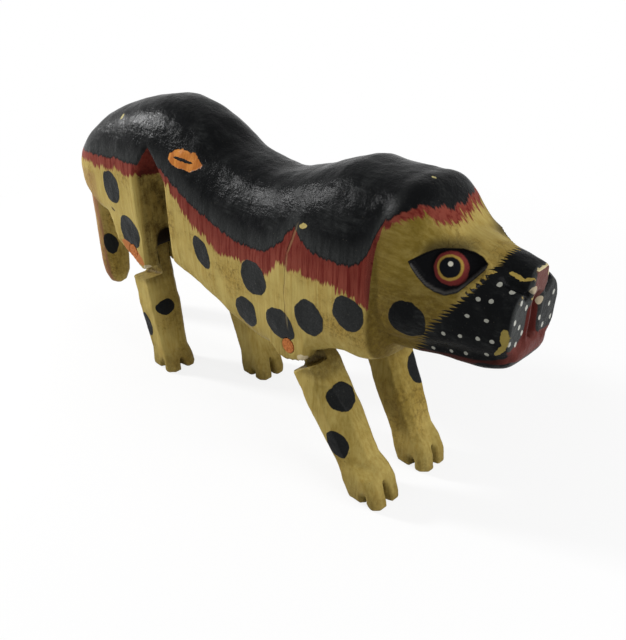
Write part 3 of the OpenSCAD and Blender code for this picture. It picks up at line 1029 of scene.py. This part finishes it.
# %% [markdown]
# ## Lips, groove and dots
# The lips lie between two lines along the muzzle, and the groove between two lines down its front. Both are a
# dull red with painted light and shade on it: the lip is lighter on its front face and darker on its side,
# the groove is darker in its recess, and the nose's front is a lighter pink as the face turned to the light.
# White dots were set on the muzzle with the tip of a stick.

# %% Paint the lips, the groove and the dots
LIP_BACK = 126.0
GROOVE_BASE = 103.5
NOSE_TIP = 141.0
LIP_SHADED_RED = paint(44, 19, 16)
LIP_LIT_RED = paint(84, 42, 37)
LIP_STREAK = paint(66, 30, 26)
GROOVE_SHADED_RED = paint(68, 26, 22)
NOSE_LIT_PINK = paint(88, 55, 50)
lip = minus(curve(x, LIP_LINE, LIP_SPAN, LINE_TOP), z)
chin = minus(z, curve(x, CHIN_LINE, LIP_SPAN, LINE_TOP))
lips = least(lip, chin, minus(x, LIP_BACK))
in_lips = mask(times_plus(drift, 1.6, lips), -0.35, 0.35)
right_room = calc("ADD", y, curve(z, GROOVE_RIGHT, FRONT_SPAN, GROOVE_TOP))
left_room = minus(curve(z, GROOVE_LEFT, FRONT_SPAN, GROOVE_TOP), y)
from_back = minus(x, ramp(across, 3.0, 6.0, 160.0, 165.0))
groove = least(right_room, left_room, from_back, minus(NOSE_TIP, z), minus(z, GROOVE_BASE))
in_groove = mask(times_plus(drift, 1.2, groove), -0.3, 0.3)
# painted light and shade: the lip is lighter on its front face and darker on its side
lip_red_lit_and_shaded = coat(mask(x, 160.0, 165.5), LIP_SHADED_RED, LIP_LIT_RED)
lip_red_lit_and_shaded = coat(times(mask(hairs, -0.05, 0.14), 0.5), lip_red_lit_and_shaded, LIP_STREAK)
# painted shade in the groove's recess below, and a lighter pink on the nose's front, the face turned to the
# light
groove_red_lit_and_shaded = coat(mask(z, 125.5, 128.5), GROOVE_SHADED_RED, NOSE_LIT_PINK)
groove_red_lit_and_shaded = coat(mask(z, 113.0, 110.5), groove_red_lit_and_shaded, lip_red_lit_and_shaded)
colour = coat(in_lips, colour, lip_red_lit_and_shaded)
colour = coat(in_groove, colour, groove_red_lit_and_shaded)
DOTS = [
    (folded, 0.6, side_dots, (1.08, 0.86), 0.8, paint(158, 158, 148)),
    (place, 0.6, front_dots, (1.08, 0.86), 0.85, paint(168, 168, 160)),
    (place, 0.7, BIG_DOTS, (1.06, 0.92), 0.85, paint(158, 146, 122)),
]
for where, reach, dots, rim, share, tint in DOTS:
    in_dot = spotted(wobble(where, reach, 0.5), dots, rim)
    colour = coat(times(in_dot, share), colour, tint)
count_nodes("unfinished block material")

# %% [markdown]
# ## Painted eyes
# The almond is black, with a painted shadow over the upper lid and a painted highlight, a pale grey arc,
# along the lower one. The ball has a red and a yellow ring around the pupil, and one white touch for the
# glint.

# %% Paint the eyes
LID_SHADOW_TINT = paint(40, 36, 26)
ALMOND_BLACK = paint(13, 13, 15)
LID_HIGHLIGHT_GREY = paint(88, 86, 83)
GLINT = paint(190, 186, 172)
RING_SOFT = 0.35
RINGS = [(7.35, 0.5, paint(112, 46, 44)), (5.5, 0.1, paint(152, 124, 58)), (4.4, 0, paint(14, 15, 20))]
pupil_at = EYE_MIDDLE + PUPIL[0] * EYE_ALONG + PUPIL[1] * EYE_UP
glint_at = EYE_MIDDLE + 1.05 * EYE_ALONG + 0.1 * EYE_UP + 0.3 * EYE_FACING
almond_room = attribute("almond")
# painted shadow over the upper lid
colour = coat(times(attribute("lid_shadow"), 0.75), colour, LID_SHADOW_TINT)
colour = coat(mask(almond_room, -0.15, 0.35), colour, ALMOND_BLACK)
# painted highlight: a pale grey arc along the lower lid's rounded edge
colour = coat(times(attribute("lid_highlight"), 0.5), colour, LID_HIGHLIGHT_GREY)
steady = wobble(folded, 1.1, 0.3)
for reach, slide, tint in RINGS:
    from_middle = vector("DISTANCE", steady, tuple(pupil_at + slide * (EYE_ALONG - EYE_UP)))
    colour = coat(mask(from_middle, reach + RING_SOFT, reach - RING_SOFT), colour, tint)
from_glint = vector("DISTANCE", folded, tuple(glint_at))
colour = coat(mask(from_glint, 1.5, 1.2), colour, GLINT)
print("pupil at", np.round(pupil_at, 1), "mm")

# %% [markdown]
# ## Chips, a crack and worn edges
# Handling has knocked off paint at corners, and the wood has split a little down the flank; one lip of the
# split gets a painted highlight. A chip is a spot with a rough outline in the colour of what lies under the
# paint: yellow priming or orange wood.

# %% Chips of the block
CHIP_EDGE = (1.06, 0.94)
CHIPS = [
    ([((65.9, -28.6, 137.1), (2.6, 6, 1.2), -20)], paint(164, 148, 92)),
    ([((116.0, -3.8, 162.6), (1.3, 1.2, 4), 0), ((-87.8, -21.7, 156.3), (1.0, 1.5, 4), 0)],
     paint(170, 160, 110)),
    ([((164.0, -17, 115.8), (1.8, 5, 4.0), -4), ((162.7, -17, 109.8), (1.1, 5, 4.2), 33)],
     paint(130, 115, 60)),
    ([((160.4, -7.4, 137.8), (3.6, 2.6, 0.8), 16), ((164.6, -5.8, 137.6), (2.2, 1.6, 0.7), -24)],
     paint(160, 138, 72)),
    ([((166.4, -0.6, 141.4), (1.0, 5.4, 0.6), 0), ((166.6, 4.8, 138.8), (1.0, 0.7, 2.4), 0)],
     paint(176, 164, 128)),
    ([((65.8, -30.0, 66.6), (3.6, 4, 3.0), 0), ((-69.8, -29.6, 69.4), (3.2, 4, 3.0), 0)],
     paint(178, 164, 132)),
    ([((-98.9, -30.6, 100.8), (1.8, 3, 1.0), 30)], paint(60, 44, 24)),
    ([((-83.1, -30, 76.9), (12.2, 6, 4.2), 22.8)], paint(158, 98, 54)),
]
FLAKE = [((-27.3, -25, 145.8), (12.4, 14.0, 4.7), 3)]
FLAKE_ISLAND = [((-28.0, -25, 145.6), (7.0, 14.0, 0.9), 4)]
FLAKE_EDGE = (1.04, 0.97)
BARE_LIGHT = paint(188, 122, 58)
BARE_DARK = paint(158, 94, 42)
ragged = wobble(place, 1.5, 0.45)
for chips, tint in CHIPS:
    colour = coat(spotted(ragged, chips, CHIP_EDGE), colour, tint)
in_flake = spotted(wobble(place, 6.0, 0.16), FLAKE, FLAKE_EDGE)
in_island = spotted(ragged, FLAKE_ISLAND, FLAKE_EDGE)
in_flake = times(in_flake, minus(1.0, in_island))
bare_wood = coat(mask(tufts, -0.1, 0.15), BARE_LIGHT, BARE_DARK)
colour = coat(in_flake, colour, bare_wood)
print("chips:", sum(len(chips) for chips, tint in CHIPS) + len(FLAKE))

# %% Crack, a painted shadow in the hip opening, and worn edges of the block
FLANK_CRACK = [(61.6, 137.2), (56.2, 121.3), (55.4, 111.6), (54.7, 98.4), (56.1, 81.9)]
# painted highlight: a pale line along one lip of the split
CRACK_HIGHLIGHT_LINE = [(a + 0.9, b) for a, b in FLANK_CRACK]
CRACK_Y = -30.5
CRACK_EDGE = (1.2, 0.7)
CRACK_DARK = paint(60, 44, 26)
CRACK_HIGHLIGHT = paint(168, 152, 104)
# painted shadow: a dark patch on the block's inner wall where the hind leg's lap goes in
HIP_SHADOW_PATCH = [((-70.0, -13.0, 84.0), (6.0, 8.0, 9.0), 0)]
HIP_SHADOW = paint(24, 17, 9)
HAUNCH_PINK = paint(116, 70, 58)
WORN = paint(168, 146, 92)
wandering = wobble(place, 1.6, 0.25)
in_split = spotted(wandering, runs(FLANK_CRACK, CRACK_Y, 0.34), CRACK_EDGE)
split_highlight = spotted(wandering, runs(CRACK_HIGHLIGHT_LINE, CRACK_Y, 0.6), CRACK_EDGE)
# painted highlight along one lip of the split
colour = coat(times(split_highlight, 0.2), colour, CRACK_HIGHLIGHT)
colour = coat(times(in_split, 0.5), colour, CRACK_DARK)
# painted shadow in the hip opening
colour = coat(spotted(ragged, HIP_SHADOW_PATCH, (1.1, 0.8)), colour, HIP_SHADOW)
haunch = times(mask(x, -112.6, -115.6), mask(z, 122.0, 118.0))
haunch = times(haunch, mask(y, -4.0, -12.0))
colour = coat(times(haunch, 0.3), colour, HAUNCH_PINK)
worn = worn_edges(place, attribute("edge"), 0.54, 0.62)
worn = times(worn, mask(almond_room, -1.5, -3.5))
colour = coat(times(worn, 0.8), colour, WORN)

rough = either(in_black, either(in_red, yellow_rough, red_rough), black_rough)
high = either(in_black, either(in_red, yellow_high, red_high), black_high)
high = times_plus(in_flake, -0.7, high)
high = times_plus(in_split, -1.0, high)
finish_material(colour, rough, high, strength=0.55)
block.data.materials.append(material)
count_nodes("block material")

# %% [markdown]
# ## Painted legs and tail
# The legs are yellow with a few big spots, and the dirt is heaviest around the toes and the ledge under the
# dowel. All four share one material with the tail: each only has its own spots, which lie far apart.

# %% Paint the legs and the tail
LIMB_SPOTS = [
    ((85.7, -21.3, 50.3), (9.0, 8.2, 7.0), 0), ((90.0, -31.0, 27.3), (6.6, 7.0, 7.8), -30),
    ((94.8, 25.4, 50.0), (8.0, 6.4, 8.6), 0), ((-65.0, -23.0, 42.9), (7.0, 6.4, 5.0), 0),
    ((-77.0, -31.0, 28.5), (5.2, 6.0, 8.4), -10), ((-31.0, 29.0, 46.0), (7.0, 6.0, 7.0), 0),
    ((96.0, 30.0, 26.0), (6.0, 6.0, 8.0), -25), ((-25.0, 28.0, 24.0), (5.0, 6.0, 7.0), 0),
    ((-152.5, -9.0, 52.0), (6.5, 8.0, 9.6), -20), ((-160.0, 10.0, 78.0), (7.0, 8.0, 9.0), 0),
    ((-170.0, -2.0, 96.0), (6.0, 8.0, 8.0), 0),
]
LEG_GRAIN = (0.45, 0.55, 0.05)
LIMB_BLACK_AGE = 0.12
TAIL_PINK = paint(132, 88, 70)
LIMB_WORN = paint(186, 168, 116)
material, place = start_material("painted_limbs")
x, y, z = add("SeparateXYZ", place).outputs
toe_dirt = times(mask(z, 18.0, 3.0), 0.45)
lap_dirt = times(mask(z, 57.0, 63.0), mask(x, -140.0, -130.0))
darkening = most(attribute("hollow"), toe_dirt, times(lap_dirt, 0.6))
age = ramp(noise(place, (0.05, 0.05, 0.03), 3.0), 0.35, 0.62, 0.0, 0.55)
yellow, yellow_rough, yellow_high = use(aged_yellow, place, LEG_GRAIN, darkening, age)
black, black_rough, black_high = use(scuffed_black, place, LEG_GRAIN, darkening, LIMB_BLACK_AGE)
in_spot = spotted(wobble(place, 2.6, 0.14), LIMB_SPOTS, SPOT_EDGE)
colour = coat(in_spot, yellow, black)
tail_back = least(mask(x, -156.6, -159.2), mask(z, 126.0, 122.0))
pink_noise = noise(place, (0.4, 0.4, 0.05), 3.0)
pink = times(tail_back, ramp(pink_noise, 0.35, 0.6, 0.2, 0.8))
colour = coat(times(pink, minus(1.0, in_spot)), colour, TAIL_PINK)
worn = worn_edges(place, attribute("edge"), 0.5, 0.62)
colour = coat(times(worn, 0.6), colour, LIMB_WORN)
rough = either(in_spot, yellow_rough, black_rough)
finish_material(colour, rough, either(in_spot, yellow_high, black_high), strength=0.4)
for limb in limbs.values():
    limb.data.materials.append(material)
count_nodes("limb material")

# %% [markdown]
# ## Bare dowels
# The dowels were never painted. They are orange wood with fibres along their length, so the noise that tints
# them is stretched along the dowel.

# %% Dowel wood
DOWEL_LIGHT = paint(176, 108, 60)
DOWEL_DARK = paint(132, 74, 38)
material, place = start_material("bare_dowel")
fibre = noise(place, (0.9, 0.06, 0.9), 4.0, 0.6)
colour = coat(mask(fibre, 0.35, 0.7), DOWEL_LIGHT, DOWEL_DARK)
finish_material(colour, ramp(fibre, 0.3, 0.7, 0.5, 0.65), fibre, strength=0.3)
dowels = [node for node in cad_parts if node.startswith("pin_") or node == "tail_peg"]
for node in dowels:
    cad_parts[node].material_slots[0].material = material
print("dowels:", dowels)

# %% [markdown]
# ## The camera
# The figure was photographed from its front right, from about thirty degrees above. The lens is given by the
# picture's height: 700 picture points for 640 points of height.

# %% Camera
CAMERA_AT = Vector((275.55, -229.95, 256.0)) * MM
CAMERA_AIM = Vector((30.6, 15.0, 56.0)) * MM
SENSOR = 36.0
LENS_POINTS = 700
PICTURE_POINTS = 640


def aim(thing, start, target):
    thing.rotation_euler = (Vector(target) - Vector(start)).to_track_quat("-Z", "Y").to_euler()


bpy.ops.object.camera_add(location=CAMERA_AT)
camera = bpy.context.object
aim(camera, CAMERA_AT, CAMERA_AIM)
camera.data.sensor_fit = "VERTICAL"
camera.data.sensor_height = SENSOR
camera.data.lens = SENSOR * LENS_POINTS / PICTURE_POINTS
camera.data.clip_start = 0.01
bpy.context.scene.camera = camera
print("camera looks from", tuple(round(v, 3) for v in CAMERA_AT))

# %% [markdown]
# ## Studio
# A pale floor and a white surround. For the camera and in reflections they are plain white, and the floor
# keeps a faint shadow near the feet. The object itself is lit by a soft sky, a small window lamp from behind
# that puts the highlights on the black, and a wide fill lamp in front, so that a paint looks about as it was
# mixed.

# %% Floor and surround
FLOOR_DROP = 0.0004
FLOOR_GREY = (0.8, 0.8, 0.8, 1)
FLOOR_ROUGH = 0.9
FLOOR_GLOW = 0.84
SKY_LIGHT = 0.36
WHITE = (1, 1, 1, 1)
bpy.ops.mesh.primitive_plane_add(size=8, location=(0, 0, -FLOOR_DROP))
floor_sheet = bpy.context.object
floor_sheet.name = "studio_floor"
floor_paint = bpy.data.materials.new("studio_white")
floor_paint.use_nodes = True
Bench.tree = floor_paint.node_tree
shader = Bench.tree.nodes["Principled BSDF"]
plug(FLOOR_GREY, shader.inputs["Base Color"])
plug_named(shader, Roughness=FLOOR_ROUGH)


def seen_directly():
    """1 for rays from the camera and from mirrors and glass, 0 for the light that falls on the object."""
    ray = add("LightPath").outputs
    return most(ray["Is Camera Ray"], ray["Is Glossy Ray"], ray["Is Transmission Ray"])


far = vector("LENGTH", add("TexCoord").outputs["Object"])
glow = add("Emission", WHITE, 1.0)
whiteness = times(seen_directly(), ramp(far, 0.2, 0.45, FLOOR_GLOW, 1.0))
blended = add("MixShader", whiteness, shader.outputs[0], glow.outputs[0])
plug(blended.outputs[0], Bench.tree.nodes["Material Output"].inputs[0])
floor_sheet.data.materials.append(floor_paint)

world = bpy.data.worlds.new("studio_surround")
bpy.context.scene.world = world
world.use_nodes = True
Bench.tree = world.node_tree
strength = ramp(seen_directly(), 0.0, 1.0, SKY_LIGHT, 1.0)
plug_named(Bench.tree.nodes["Background"], Color=WHITE, Strength=strength)
print("sky light on the object:", SKY_LIGHT)

# %% Lamps


def lamp(name, at, target, size, watts):
    bpy.ops.object.light_add(type="AREA", location=at)
    made = bpy.context.object
    made.name = name
    made.data.energy = watts
    made.data.size = size
    aim(made, at, target)
    print(name, "lamp:", watts, "W")


lamp("window", (-0.95, -0.42, 0.58), (0.0, 0.0, 0.1), size=0.14, watts=16)
lamp("fill", (0.95, 0.15, 0.5), (0.0, 0.0, 0.08), size=0.6, watts=8)
bpy.context.scene.view_settings.view_transform = "Standard"
